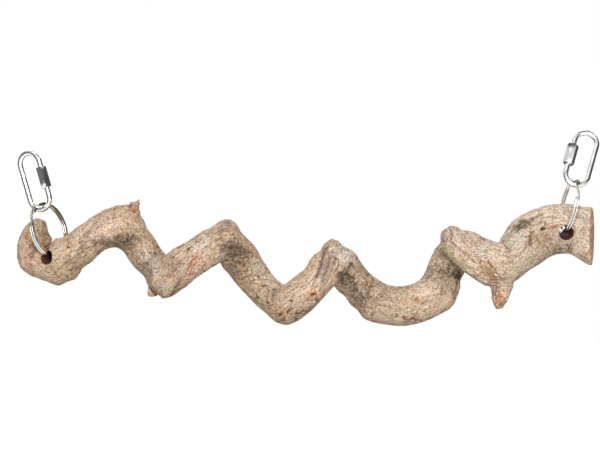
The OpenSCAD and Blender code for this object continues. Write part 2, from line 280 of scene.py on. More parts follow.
def add_surface(tree, values, height, strength, distance):
    """Ends a material: a surface of the given values, with a bump of the given height on it."""
    bump = add_node(tree, "ShaderNodeBump", {"Height": height, "Strength": strength, "Distance": distance})
    shader = add_node(tree, "ShaderNodeBsdfPrincipled", {**values, "Normal": bump.outputs[0]})
    add_node(tree, "ShaderNodeOutputMaterial", {"Surface": shader.outputs[0]})


def bark_material():
    # Bark of a dried corkscrew vine, rubbed clean of its loose outer layer and left raw: matt,
    # cork-like and finely wrinkled and tan, with painted highlight in cream on the crests and painted
    # shade in dark brown in the cracks and inner bends. Sawn wood is reddish brown and shows its growth
    # rings; in the drilled holes the wood's reddish brown is painted dark with the hole's shade.
    material, tree = new_material("raw_vine_bark")

    def stored(name, output="Fac"):
        return add_node(tree, "ShaderNodeAttribute", attribute_name=name).outputs[output]

    # Grain coordinates are in millimetres, and so are the sizes of the spots
    grain = stored("grain", "Vector")
    relief = stored("relief")
    inner = stored("inner_bend")
    patch = spotted(tree, grain, 8, 3.0, 0.6)
    speckle = spotted(tree, grain, 0.8, 3.0, 0.7)
    waved = add_node(tree, "ShaderNodeTexNoise", {"Vector": grain, "Scale": 1 / 5, "Detail": 1.0})
    swayed = add_node(tree, "ShaderNodeVectorMath",
                      {0: waved.outputs["Color"], 1: (2.4, 2.4, 2.4), 2: grain},
                      operation="MULTIPLY_ADD").outputs[0]
    stretched = add_node(tree, "ShaderNodeVectorMath",
                         {0: swayed, 1: (0.22, 1.0, 1.0)}, operation="MULTIPLY").outputs[0]
    fibre = spotted(tree, stretched, 1.1, 3.0, 0.65)
    wrinkle = spotted(tree, stretched, 2.6, 2.0, 0.55)
    pores = add_node(tree, "ShaderNodeTexVoronoi", {"Vector": swayed, "Scale": 1 / 1.5})

    # The ground is tan and turns paler towards the sawn end, with warm patches, pale fibres and marks
    colour = ramped(tree, spotted(tree, grain, 26, 2.0),
                    [(0.36, "#CAA987"), (0.50, "#D5B694"), (0.62, "#D9BA9F")])
    along = add_node(tree, "ShaderNodeSeparateXYZ", {0: grain}).outputs[0]
    paler_share = add_node(tree, "ShaderNodeMapRange",
                        {0: along, 1: 260.0, 2: 640.0, 3: 0.0, 4: 0.75}).outputs[0]
    colour = mixed(tree, paler_share, colour, linear("#E0CAB8"))
    colour = mixed(tree, ramped(tree, patch, [(0.52, 0.0), (0.68, 0.6)]), colour, linear("#D2A07E"))
    colour = mixed(tree, ramped(tree, fibre, [(0.52, 0.0), (0.68, 0.6)]), colour, linear("#F2E6D4"))
    colour = add_node(tree, "ShaderNodeVectorMath",
                      {0: colour, 1: stored("untinted"), 2: stored("tint", "Vector")},
                      operation="MULTIPLY_ADD").outputs[0]

    # Cracks are painted dark at the bottom as shade, less so towards the sawn end. Between the modelled
    # ones lie fine ones that are only drawn, and pores, which are strong inside the bends.
    crack_shade = ramped(tree, relief, [(0.05, 1.0), (0.22, 0.7), (0.52, 0.0)])
    crack_shade = calculated(tree, "MULTIPLY", crack_shade, calculated(tree, "MULTIPLY_ADD", paler_share, -0.75, 1.0))
    off_middle = calculated(tree, "ABSOLUTE", calculated(tree, "SUBTRACT", wrinkle, 0.5))
    line = ramped(tree, off_middle, [(0.0, 0.9), (0.028, 0.0)])
    line = calculated(tree, "MULTIPLY", line, ramped(tree, speckle, [(0.42, 1.0), (0.62, 0.1)]))
    pore = ramped(tree, pores.outputs["Distance"], [(0.16, 1.0), (0.34, 0.0)])
    pore = calculated(tree, "MULTIPLY", pore, calculated(tree, "MULTIPLY_ADD", inner, 0.55, 0.3))
    speck = ramped(tree, speckle, [(0.34, 0.75), (0.46, 0.0)])
    fine = calculated(tree, "MAXIMUM", calculated(tree, "MAXIMUM", line, pore), speck)
    dark = calculated(tree, "MAXIMUM", crack_shade, fine)
    # Inside the bends the colour is darkened in patches: painted shade.
    shade = calculated(tree, "MULTIPLY", inner, patch)
    dark = calculated(tree, "MULTIPLY_ADD", shade, 0.5, dark, use_clamp=True)
    colour = mixed(tree, dark, colour, linear("#5E4632"))
    # The crests are lightened towards cream: painted highlight.
    colour = mixed(tree, ramped(tree, relief, [(0.74, 0.0), (0.95, 0.45)]), colour, linear("#EBDFCB"))

    # Growth rings on the sawn face; in the drilled holes the wood's reddish brown is darkened with painted
    # shade. A wave takes 6.28 units.
    place = add_node(tree, "ShaderNodeTexCoord").outputs["Object"]
    from_pith = add_node(tree, "ShaderNodeMapping", {"Vector": place, "Location": -PITH})
    rings = add_node(tree, "ShaderNodeTexWave",
                     {"Vector": from_pith.outputs[0], "Scale": 1 / GROWTH_RING / 6.28, "Distortion": 3.0,
                      "Detail": 2.0, "Detail Scale": 120.0},
                     wave_type="RINGS", rings_direction="SPHERICAL")
    face = mixed(tree, rings.outputs[1], linear("#DDA184"), linear("#F0CCAF"))
    colour = mixed(tree, stored("sawn"), colour, face)
    colour = mixed(tree, stored("drilled"), colour, linear("#5A3626"))

    hollow = calculated(tree, "MULTIPLY_ADD", fine, -1.4, fibre)
    add_surface(tree, {"Base Color": colour, "Roughness": 0.85, "IOR": 1.45, "Specular IOR Level": 0.25},
                calculated(tree, "ADD", speckle, hollow), 0.9, 0.45 * MM)
    return material


def steel_material(name, colours, roughness, marks):
    material, tree = new_material(name)
    place = add_node(tree, "ShaderNodeTexCoord").outputs["Object"]
    # Polishing marks about 0.4 mm apart, drawn that coarse so that they show
    scratch = spotted(tree, place, 0.4 * MM, 3.0, 0.6)
    cloud = spotted(tree, place, 6 * MM, 2.0)
    rough = add_node(tree, "ShaderNodeMapRange",
                     {0: cloud, 1: 0.3, 2: 0.7, 3: roughness * 0.75, 4: roughness * 1.3}).outputs[0]
    tone = ramped(tree, cloud, [(0.35, colours[0]), (0.65, colours[1])])
    add_surface(tree, {"Base Color": tone, "Metallic": 1.0, "Roughness": rough}, scratch, marks, 0.02 * MM)
    return material


# Nickel-plated spring steel, rolled flat and coiled: bright, with fine marks along the wire
RING_STEEL = steel_material("nickel_plated_spring_steel", ("#C4C1BB", "#D8D5D0"), 0.14, 0.08)
# Zinc-plated mild steel wire, bent cold and tumbled: bright grey with soft highlights
LINK_STEEL = steel_material("zinc_plated_steel_wire", ("#C6C5C2", "#DAD9D7"), 0.16, 0.06)
# Zinc-plated mild steel bar, turned and milled to a hexagon: flat mirror faces with crisp edges
NUT_STEEL = steel_material("zinc_plated_turned_steel", ("#BFBFBD", "#D6D6D4"), 0.12, 0.08)
BARK = bark_material()


# Modelling helpers


def deselect_all():
    if bpy.context.object and bpy.context.object.mode != "OBJECT":
        bpy.ops.object.mode_set(mode="OBJECT")
    bpy.ops.object.select_all(action="DESELECT")


def make_active(piece):
    deselect_all()
    piece.select_set(True)
    bpy.context.view_layer.objects.active = piece


def apply_modifier(piece, kind, **settings):
    make_active(piece)
    modifier = piece.modifiers.new(kind.lower(), kind)
    for name, value in settings.items():
        setattr(modifier, name, value)
    bpy.ops.object.modifier_apply(modifier=modifier.name)


def cut(piece, cutter, operation="DIFFERENCE"):
    apply_modifier(piece, "BOOLEAN", object=cutter, operation=operation, solver="EXACT")
    bpy.data.objects.remove(cutter)


def shade_smooth(piece, angle):
    """Smooth shading, but for edges sharper than the angle in degrees."""
    make_active(piece)
    bpy.ops.object.shade_smooth_by_angle(angle=math.radians(angle))


def points_of(piece):
    points = np.empty(len(piece.data.vertices) * 3, np.float32)
    piece.data.vertices.foreach_get("co", points)
    return points.reshape(-1, 3).astype(float)


def normals_of(piece):
    normals = np.empty(len(piece.data.vertices) * 3, np.float32)
    piece.data.vertices.foreach_get("normal", normals)
    return normals.reshape(-1, 3).astype(float)


def move_points(piece, points):
    piece.data.vertices.foreach_set("co", points.astype(np.float32).ravel())
    piece.data.update()


def store(piece, name, values):
    kind = "FLOAT_VECTOR" if values.ndim == 2 else "FLOAT"
    attribute = piece.data.attributes.new(name, kind, "POINT")
    attribute.data.foreach_set("vector" if values.ndim == 2 else "value", values.astype(np.float32).ravel())


# Noise in the grain of the vine

NOISE_SEED = 7
generator = np.random.default_rng(NOISE_SEED)
SHUFFLE = generator.permutation(256)
SLOPES = generator.normal(size=(256, 3))
SLOPES /= np.linalg.norm(SLOPES, axis=1)[:, None]


def noise(points):
    """Smooth noise from about -1 to 1, with one bump about each unit."""
    cell = np.floor(points).astype(int)
    inside = points - cell
    fade = inside ** 3 * (inside * (inside * 6 - 15) + 10)
    total = np.zeros(len(points))
    for corner in range(8):
        step = np.array([corner & 1, corner >> 1 & 1, corner >> 2 & 1])
        place = cell + step
        slot = SHUFFLE[(SHUFFLE[(SHUFFLE[place[:, 0] & 255] + place[:, 1]) & 255] + place[:, 2]) & 255]
        weight = np.prod(np.where(step, fade, 1 - fade), axis=1)
        total += weight * np.einsum("ij,ij->i", SLOPES[slot], inside - step)
    return total * 1.6


def rise(value, low, high):
    """Smooth step from 0 at low to 1 at high."""
    t = np.clip((value - low) / (high - low), 0, 1)
    return t * t * (3 - 2 * t)


# Marks on the front of the bark: place of the middle in X and Z, half length, half width, turn from
# level in degrees, how deep the mark is dug (below 0 it is raised), colour and strength. Lengths in mm.
# Some of the marks are painted shade and some painted light, as the group comments say.
MARKS = [
    # Left end: warm front of the lobe, its grey crown, orange wood beside the hole, spiral groove
    (4, -64, 13, 9, 80, 0.0, "#C69B74", 0.7),
    (13, -50, 9, 4.5, 70, 0.0, "#85725C", 0.75),
    (3.8, -66, 9, 2.4, 88, 0.5, "#80614A", 0.8),
    (13, -64, 4, 3, 60, 0.0, "#C9905F", 0.5),
    (40, -63, 18, 2.2, 68, 0.9, "#94725C", 0.8),
    (48, -50, 10, 4, 40, 0.0, "#CDB4A6", 0.5),
    (33, -76, 10, 6, 20, 0.0, "#BD9E82", 0.5),
    # First arch: dull top, torn twig with its dark hollow, painted shade under the arch
    (57, -42, 17, 5, 14, 0.0, "#BFA085", 0.5),
    (75.5, -36, 4.5, 3.2, 62, 0.0, "#BF7C5A", 0.9),
    (77.5, -40, 4.0, 1.0, 75, 0.5, "#7A4632", 0.8),
    (71.5, -35.5, 1.8, 1.1, 70, 0.9, "#5C463A", 0.8),
    # Painted shade under the arch
    (62, -59, 18, 4.5, 5, 0.0, "#705842", 0.85),
    # First trough: pale limb, stub with a dark cleft, purple-brown line
    (86, -74, 13, 6, -58, 0.0, "#EBD9C4", 0.7),
    (99, -77, 11, 7, 40, 0.0, "#AE9278", 0.65),
    (87, -94.3, 4.2, 1.3, -48, 1.2, "#4E3328", 0.95),
    (103.5, -91, 9.0, 1.2, 62, 0.8, "#7A5E52", 0.85),
    (100, -97.5, 6, 1.2, 40, 0.0, "#8D7263", 0.6),
    # Second arch: spiral ridge, torn scar between pale lips, purple crest, painted light on the top, painted
    # shade in the inner bend
    (120, -71, 28, 4.5, 53, -0.8, "#D8C2AE", 0.15),
    (115.8, -74.3, 10, 3.2, 62, 0.7, "#D39B7C", 0.85),
    (113.2, -71, 5.5, 0.9, 62, 0.4, "#B06E49", 0.85),
    (115, -78.5, 4.5, 0.8, 66, 0.3, "#B5704C", 0.8),
    (111.4, -75.5, 9, 0.8, 62, -0.5, "#DCCBB5", 0.7),
    (137, -47.5, 8, 2.0, 42, 0.2, "#8C6C63", 0.75),
    (142, -50, 5, 3, 20, 0.0, "#D0A58C", 0.5),
    (136, -54, 10, 4.5, 30, 0.0, "#AC8E76", 0.5),
    # Painted light on the arch's upper surface
    (122, -60, 11, 4, 38, 0.0, "#CDC2B2", 0.6),
    # Painted shade in the inner bend, two marks
    (144, -66, 12, 8, -40, 0.0, "#6E5945", 0.85),
    (145, -81, 9, 3, -50, 0.0, "#7E6854", 0.55),
    (162, -80, 12, 5, -52, 0.0, "#E4D2BD", 0.65),
    # Second trough: orange tint and knot
    (177, -109, 12, 3.5, -12, 0.0, "#C8946F", 0.6),
    (162, -104, 8, 1.4, -44, 0.4, "#8E8168", 0.6),
    (198.1, -95.4, 4.0, 3.6, 0, -0.9, "#DDA163", 0.85),
    (198.1, -95.4, 1.4, 1.1, 0, 1.5, "#8A4A2A", 0.95),
    (202, -103, 9, 2.2, 40, 0.0, "#A98A7C", 0.5),
    # Third arch: fibrous purple-grey ridge between dark lines, painted light on the upper flank, painted
    # shade in the inner bend
    (207.8, -75.0, 19, 4.0, 71, -1.2, "#A48D83", 0.85),
    (202.8, -76.0, 17, 1.1, 71, 0.9, "#62504A", 0.85),
    (212.4, -76.0, 17, 0.8, 70, 0.9, "#6F5949", 0.8),
    (207.6, -78.0, 14, 0.7, 71, 0.6, "#74605A", 0.7),
    # Painted light on the upper flank
    (219, -68.5, 9, 5, -48, 0.0, "#EADBCA", 0.8),
    # Painted shade in the inner bend, two marks
    (221, -86, 9, 5.5, -48, 0.0, "#66533D", 0.9),
    (230, -97, 13, 5, -52, 0.0, "#6B5844", 0.85),
    # Third trough: dull front, orange streak, brown knot, painted shadow under the fourth arch's front limb
    (252, -102, 25, 9, -5, 0.0, "#B0947A", 0.45),
    (269.5, -100.5, 8, 2.6, 8, 0.0, "#D2A07A", 0.6),
    (265.9, -113, 5.0, 2.3, 6, -0.5, "#94644C", 0.75),
    (267.5, -113, 1.3, 1.1, 0, 1.2, "#6E4434", 0.9),
    # Painted shadow under the fourth arch's front limb
    (290, -87, 5.5, 9, 20, 0.0, "#8A745C", 0.6),
    (297.5, -95, 7, 2.2, 82, 0.0, "#7A675B", 0.7),
    # Fourth arch: purple nub with creases, pink and yellow flanks, painted shadow under its front limb and in
    # the gap behind
    (291, -49, 4.5, 2.4, 10, 0.0, "#8A7772", 0.7),
    (293.6, -56, 7, 1.1, 88, 1.2, "#6B584B", 0.85),
    (306, -62, 13, 3.6, -38, 0.0, "#CFAF9F", 0.75),
    (297, -72.5, 14, 3.0, -43, -0.6, "#C6B78E", 0.85),
    (301, -66.5, 15, 0.8, -42, 0.8, "#8A6C60", 0.75),
    # Painted shadow under the front limb and in the gap behind it, two marks
    (299, -83, 7, 3.4, -38, 0.6, "#40362C", 0.9),
    (286, -80, 9, 1.3, -12, 0.5, "#6C5C48", 0.6),
    # Junction: red-brown patch, pale swirls, torn stub
    (318.5, -80.5, 11, 3.0, -50, 0.5, "#A97F60", 0.85),
    (321.5, -77.5, 9, 0.8, -52, 0.8, "#7D5840", 0.75),
    (335, -77, 9, 5, 20, 0.0, "#DCC6A4", 0.6),
    (316, -66, 9, 5, -20, 0.0, "#CDBEAA", 0.6),
    (327, -101, 6, 5.5, 60, 0.0, "#C58A66", 0.75),
    (323, -95, 2.5, 2.0, 60, 0.5, "#8E674E", 0.6),
    # Right end: grey-green lobe, crease, notch and red streak to the hole, grey patch below it
    (338, -58, 10, 5, 62, 0.0, "#D2C9B2", 0.7),
    (348.2, -57.5, 6.0, 1.8, 84, 1.8, "#5F4A37", 0.9),
    (345, -62, 5, 1.0, 70, 0.8, "#7B654F", 0.6),
    (342.5, -48, 8.5, 2.8, 30, 1.2, "#64563F", 0.95),
    (365.6, -40.5, 3.8, 2.6, 30, 0.0, "#918C86", 0.75),
    (356, -57.5, 8, 5.5, 5, 0.0, "#AE8C68", 0.7),
    (381, -52, 6, 10, 0, 0.0, "#DEC8AC", 0.5),
    (357.0, -50.6, 2.4, 1.5, 30, 1.8, "#452F23", 0.95),
    (364, -49.6, 5, 1.9, 8, 0.4, "#BA7E5E", 0.75),
    (366, -42, 9, 4, -5, 0.0, "#E6CFB6", 0.6),
    (383, -42, 8, 6, 0, 0.0, "#E8D6C3", 0.7),
    (352, -43, 7, 1.0, 25, 0.6, "#8A755C", 0.7),
    (371, -65, 8, 3, -5, 0.0, "#958B75", 0.6),
]
# Bends where two turns of the vine have grown together without a crease: place in X and Z, reach, in mm
SOFT_BENDS = [(93, -75, 15), (139, -66, 11), (68, -59, 9), (330, -62, 8), (33, -72, 8), (327, -90, 6)]
SOFT_ROUNDS = 3
SOFT_STEPS = 100
# Pushes that bring the front of the vine nearer: place in X and Z, move towards the front, reach, in mm
FRONT_PUSHES = [
    (84, -72, 3.4, 11), (88, -84, 3.0, 8), (98, -78, -2.6, 9), (148, -72, 2.5, 9), (70, -58, 2.0, 8),
]
# Pushes that bring the outline to that of the real piece: place in X and Z, move in X and Z, reach, in mm
PUSHES = [
    # Left end
    (0, -49, -0.3, 0.1, 6), (-3, -75, -1.2, -0.4, 7), (19.5, -59.5, 0.0, 2.2, 3.5), (15.8, -51, -1.0, 0.0, 4),
    (22, -88.5, 0.0, -1.4, 3.5), (33, -86, 0.5, -1.0, 4), (9, -86, 0.0, 1.2, 7), (41, -79, -1.0, 1.3, 5),
    (16, -58, 1.6, 0.6, 2.5),
    # First arch
    (38, -45, 0.4, -0.8, 4), (50, -35.5, -0.2, 0.6, 4), (60, -33, 0.0, -0.9, 5), (70, -60, 0.0, -0.9, 4),
    (36, -49, -0.5, 1.0, 6), (51.5, -38, 0.8, -2.0, 8), (62, -63, 0.0, -1.8, 6), (86, -49.5, -1.8, -1.0, 6),
    (79.5, -82, 1.6, 1.2, 6),
    # Torn twig
    (79.2, -35, -1.2, 0.0, 2.0), (77.6, -31.5, -0.7, 1.6, 1.6), (70.5, -34, -0.4, 1.6, 2.2),
    (74, -33, 0.3, -0.6, 1.3), (79, -37, -0.8, 0.0, 2.5),
    # First trough
    (84.7, -92, -0.6, 0.0, 2.0), (94, -97.5, -0.6, -2.2, 3.0), (88, -95.5, 0.2, -0.8, 2.5),
    (99, -97.5, 0.0, -1.0, 3), (82, -84, 1.3, 0.8, 4), (94.5, -63, -0.9, -0.6, 5), (90, -58, -0.6, -0.4, 4),
    (106, -94, 0.0, 1.2, 4), (93, -95.5, 0.4, 1.0, 1.2),
    # Second arch
    (103.5, -61.5, -0.4, 1.0, 7), (127, -48.5, 0.8, -2.2, 6), (139.5, -44, 0.0, 1.2, 4.5),
    (152, -55, -1.9, -1.2, 6), (149.5, -50.5, -1.2, -0.5, 4.5), (135.6, -76.5, -0.2, -1.8, 4),
    # Second trough
    (187, -80, 0.0, 2.0, 4.5), (196, -74, -0.8, 1.3, 6), (165, -110.5, 1.0, 1.2, 7),
    (180, -116, 0.0, -0.8, 6),
    # Third arch
    (203, -65, 1.6, -1.4, 4), (210.5, -58, 0.0, 0.8, 3), (221, -63, -1.9, -2.9, 5.5),
    (234, -76.5, 0.5, 0.7, 6), (199.5, -104.5, 0.3, -0.6, 7), (221.5, -98.5, 1.1, 1.5, 4.5),
    (229, -108, 1.0, 0.9, 5),
    # Third trough
    (235, -113.5, -0.8, -1.7, 9), (294, -103, 1.3, -1.2, 7), (300.5, -86, -2.5, 0.0, 4),
    # Fourth arch
    (278.5, -72, -0.7, 0.3, 6), (285.5, -60, 2.3, -0.3, 3.5), (289.5, -49, -0.5, 0.9, 4),
    (302.5, -51, 0.0, -3.6, 5.5), (325, -58.5, 1.4, -0.9, 2.5), (320, -58, 0.0, 0.9, 4),
    (316, -57, 0.0, 1.6, 6), (316, -86, -0.2, -1.5, 7), (318.5, -88, -0.6, -0.8, 3),
    # Stub
    (319.5, -98.5, -1.4, 0.0, 2.5), (332.5, -100, -1.8, 0.0, 3.2), (328.5, -105, 0.8, -0.8, 2.0),
    (335.5, -90, 0.6, 0.0, 3),
    # Right end
    (338, -42.5, -1.0, 1.2, 8), (345, -80.5, -0.9, 1.6, 8), (369, -67.5, 0.0, -0.6, 8),
    (388.5, -75, 0.0, -0.6, 4), (386.5, -35, 0.0, -1.0, 5),
]


# Vine


def vine_line():
    """Points half a millimetre apart along the middle of the vine."""
    rows = np.array(VINE_SHARES) * [VINE_LENGTH, TWIST_DEPTH, TWIST_HEIGHT] + np.array(VINE_START)
    rows = np.vstack([2 * rows[0] - rows[1], rows, 2 * rows[-1] - rows[-2]])
    curve = []
    for a, b, c, d in zip(rows, rows[1:], rows[2:], rows[3:]):
        for t in np.arange(0, 1, CURVE_STEP):
            curve.append((2 * b + (c - a) * t + (2 * a - 5 * b + 4 * c - d) * t ** 2
                          + (3 * b - a - 3 * c + d) * t ** 3) / 2)
    curve = np.array(curve)
    run = np.concatenate([[0], np.cumsum(np.linalg.norm(np.diff(curve, axis=0), axis=1))])
    even = np.arange(0, run[-1], LINE_STEP)
    return np.column_stack([np.interp(even, run, curve[:, k]) for k in range(3)])


def grain_of(points):
    """Grain of each point, in millimetres: along the vine and twice across it. The second value is
    how far the point lies inside a bend, from 0 to 1."""
    line = vine_line()
    along = np.gradient(line, axis=0)
    along /= np.linalg.norm(along, axis=1)[:, None]
    turning = np.gradient(along, axis=0) / LINE_STEP
    spread = np.ones(TURNING_STEPS) / TURNING_STEPS
    turning = np.column_stack([np.convolve(turning[:, k], spread, mode="same") for k in range(3)])
    side = np.empty_like(line)
    side[0] = np.cross(along[0], [0, 1, 0])
    for i in range(1, len(line)):
        side[i] = side[i - 1] - along[i] * (side[i - 1] @ along[i])
        side[i] /= np.linalg.norm(side[i])
    tree = kdtree.KDTree(len(line))
    for i, place in enumerate(line):
        tree.insert(place, i)
    tree.balance()
    nearest = np.array([tree.find(p)[1] for p in points])
    away = points - line[nearest]
    ahead = np.einsum("ij,ij->i", away, along[nearest])
    across = np.einsum("ij,ij->i", away, side[nearest])
    beside = np.einsum("ij,ij->i", away, np.cross(along[nearest], side[nearest]))
    inner = np.clip(np.einsum("ij,ij->i", away, turning[nearest]) * TURNING_GAIN, 0, 1)
    return np.column_stack([nearest * LINE_STEP + ahead, across, beside]) / MM, inner


def bark_relief(grain, inner):
    """Height of the bark between its cracks, from 0 at the bottom of a crack to 1."""
    # A divisor is the size of a form in mm, along the grain and across it. What is added to the
    # grain only makes each noise another one.
    warp = np.column_stack([noise(grain / 12 + shift) for shift in (0.0, 31.7, 67.3)])
    bent = grain + 2.6 * warp
    where = rise(noise(grain / 30 + 3.3), -0.35, 0.35)
    wrinkles = rise(np.abs(noise(bent * [1 / 14, 1 / 3.6, 1 / 3.6] + 9.4)), 0, 0.11)
    short = rise(np.abs(noise(bent * [1 / 5.5, 1 / 2.3, 1 / 2.3] + 13.9)), 0, 0.09)
    folds = rise(np.abs(noise(bent * [1 / 2.9, 1 / 8, 1 / 8] + 17.9)), 0, 0.09)
    pits = 1 - rise(noise(bent / 2.6 + 23.3), 0.42, 0.60)
    grit = 0.5 + 0.5 * noise(grain / 1.6 + 41.7)
    wrinkled = 1 - (1 - wrinkles) * (0.45 + 0.55 * where)
    folded = 1 - (1 - folds) * (0.15 + 0.85 * np.maximum(inner, 0.5 * (1 - where)))
    pitted = 1 - (1 - pits) * (0.25 + 0.75 * inner)
    shortened = 1 - 0.6 * (1 - short)
    return np.clip(wrinkled * folded * pitted * shortened * (0.72 + 0.28 * grit), 0, 1)


def ragged_edge(grain):
    return noise(grain / 3.1 + 71.3)


def drill_axis(lean, turn):
    return (leaned((0, 0, 0), lean, turn).to_3x3() @ Vector((0, 1, 0))).normalized()


# Place, direction and diameter of each hole
DRILLS = [
    (LEFT_HOLE, drill_axis(LEFT_RING_LEAN, LEFT_RING_TURN), LEFT_HOLE_DIAMETER),
    (RIGHT_HOLE, drill_axis(RIGHT_RING_LEAN, RIGHT_RING_TURN), RIGHT_HOLE_DIAMETER),
]


def near_drill(points, at, axis):
    """How far each point lies from the line of a drilled hole, and a large value far along it."""
    away = points - np.array(at)
    reach = np.linalg.norm(away - np.outer(away @ np.array(axis), axis), axis=1)
    return np.where(np.linalg.norm(away, axis=1) < DRILL_REACH, reach, 1)


def mark_share(points, normals, ragged, mark):
    """How strongly each point of the front lies in a mark."""
    x, z, length, width, turn = mark[:5]
    away_x = points[:, 0] / MM - x
    away_z = points[:, 2] / MM - z
    a = math.radians(turn)
    long = (away_x * math.cos(a) + away_z * math.sin(a)) / length
    short = (away_z * math.cos(a) - away_x * math.sin(a)) / width
    reach = np.hypot(long, short) * (1 + 0.7 * ragged)
    return rise(-reach, -1.3, -0.55) * rise(-normals[:, 1], -0.05, 0.25)


def front_distance(points, x, z, reach):
    """How far each point lies from a place as seen from the front, as a share of the reach."""
    return np.hypot(points[:, 0] / MM - x, points[:, 2] / MM - z) / reach


def pushed(points):
    """The points moved by the pushes, each of which fades with the distance seen from the front."""
    moved = points.copy()
    for x, z, move_x, move_z, reach in PUSHES:
        share = np.exp(-front_distance(points, x, z, reach) ** 2) * MM
        moved[:, 0] += move_x * share
        moved[:, 2] += move_z * share
    return moved


def brought_forward(points, normals):
    """The points of the front moved by one round's part of the front pushes."""
    moved = points.copy()
    facing = rise(-normals[:, 1], -0.1, 0.5)
    for x, z, move, reach in FRONT_PUSHES:
        share = np.exp(-front_distance(points, x, z, reach) ** 2)
        moved[:, 1] -= move * MM / SOFT_ROUNDS * share * facing
    return moved


def copied_branch():
    """The solid branch copied, with even points all over and its corners smoothed."""
    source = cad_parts["perch_branch"]
    vine = source.copy()
    vine.data = source.data.copy()
    vine.name = "twisted_vine"
    bpy.context.scene.collection.objects.link(vine)
    vine.parent = None
    make_active(vine)
    bpy.ops.object.mode_set(mode="EDIT")
    bpy.ops.mesh.select_all(action="SELECT")
    bpy.ops.mesh.remove_doubles(threshold=MERGE_DISTANCE)
    bpy.ops.object.mode_set(mode="OBJECT")
    apply_modifier(vine, "REMESH", mode="VOXEL", voxel_size=VINE_VOXEL, use_smooth_shade=True)
    apply_modifier(vine, "SMOOTH", factor=0.5, iterations=VINE_SMOOTH_STEPS)
    return vine


def soften_bends(vine):
    """Smooths the soft bends, and brings the front forward a part before each round."""
    points = points_of(vine)
    soft = np.zeros(len(points))
    for x, z, reach in SOFT_BENDS:
        soft = np.maximum(soft, np.exp(-front_distance(points, x, z, reach) ** 4))
    group = vine.vertex_groups.new(name="soft_bends")
    for tenth in range(1, 11):
        chosen = np.flatnonzero(np.round(soft * 10) == tenth)
        group.add(chosen.tolist(), tenth / 10, "REPLACE")
    for _ in range(SOFT_ROUNDS):
        move_points(vine, brought_forward(points_of(vine), normals_of(vine)))
        apply_modifier(vine, "SMOOTH", factor=0.5, iterations=SOFT_STEPS, vertex_group="soft_bends")


def raise_bark(vine):
    """Gives the surface its lumps, cracks and dug marks, then moves it by the pushes."""
    points = points_of(vine)
    normals = normals_of(vine)
    grain, inner = grain_of(points)
    relief = bark_relief(grain, inner)
    lumps = noise(grain / 24 + 5.1) + 0.5 * noise(grain / 9 + 51.1)
    hole_way = np.min([near_drill(points, at, axis) for at, axis, diameter in DRILLS], axis=0)
    bark = HOLE_BARK_SHARE + (1 - HOLE_BARK_SHARE) * rise(hole_way, HOLE_BARK_NEAR, HOLE_BARK_FAR)
    ragged = ragged_edge(grain)
    dug = np.zeros(len(points))
    for mark in MARKS:
        dug += mark[5] * MM * mark_share(points, normals, ragged, mark)
    depth = CRACK_DEPTH + INNER_CRACK_DEPTH * inner
    lift = (LUMP_HEIGHT * lumps + depth * (relief - LEVEL_RELIEF)) * bark + VINE_SWELL - dug
    move_points(vine, pushed(points + normals * lift[:, None]))
    apply_modifier(vine, "DECIMATE", ratio=VINE_TRIANGLES / (2 * len(vine.data.polygons)))


def turned_to(axis, forward, up):
    """Matrix that turns the forward side of a piece to an axis."""
    return axis.to_track_quat(forward, up).to_matrix().to_4x4()


def add_drill(at, axis, radius, depth):
    deselect_all()
    bpy.ops.mesh.primitive_cylinder_add(vertices=DRILL_SIDES, radius=radius, depth=depth)
    drill = bpy.context.object
    drill.data.transform(Matrix.Translation(at) @ turned_to(axis, "Z", "Y"))
    return drill


def add_block(size, matrix):
    deselect_all()
    bpy.ops.mesh.primitive_cube_add(size=size)
    block = bpy.context.object
    block.data.transform(matrix)
    return block


def add_hole_floor(vine):
    """Leaves wood in the lower back of the right hole, where two drillings don't meet. The ring
    arches over it."""
    at, axis, diameter = DRILLS[1]
    plug = add_drill(at, axis, diameter / 2 + HOLE_FLOOR_BITE, 2 * HOLE_FLOOR_REACH)
    block = add_block(
        1,
        Matrix.Translation(at)
        @ Matrix.Rotation(math.radians(HOLE_FLOOR_SLOPE), 4, axis.cross((0, 0, 1)).normalized())
        @ turned_to(axis, "Y", "Z")
        @ Matrix.Translation((0, DRILL_REACH / 2, HOLE_FLOOR_HEIGHT - diameter / 2))
        @ Matrix.Diagonal((2 * diameter, DRILL_REACH, diameter, 1)),
    )
    cut(plug, block, "INTERSECT")
    cut(vine, plug, "UNION")


def saw_and_drill(vine):
    """Saws the end and drills the holes again, so that their edges are crisp."""
    cut(vine, add_block(SAW_SIZE, SAW_FRAME @ Matrix.Translation((SAW_SIZE / 2, 0, 0))))
    for at, axis, diameter in DRILLS:
        cut(vine, add_drill(at, axis, diameter / 2, 2 * DRILL_REACH))
    add_hole_floor(vine)
    make_active(vine)
    bpy.ops.object.mode_set(mode="EDIT")
    bpy.ops.mesh.select_all(action="SELECT")
    bpy.ops.mesh.remove_doubles(threshold=MERGE_DISTANCE)
    # Where two cut faces share a sliver, one of its two triangles goes here, and the other one
    # goes with its loose edges
    bpy.ops.mesh.quads_convert_to_tris(ngon_method="BEAUTY")
    bpy.ops.mesh.select_mode(type="EDGE")
    bpy.ops.mesh.select_all(action="DESELECT")
    bpy.ops.mesh.select_non_manifold(
        extend=False, use_multi_face=False, use_non_contiguous=False, use_verts=False
    )
    bpy.ops.mesh.delete(type="EDGE")
    bpy.ops.object.mode_set(mode="OBJECT")


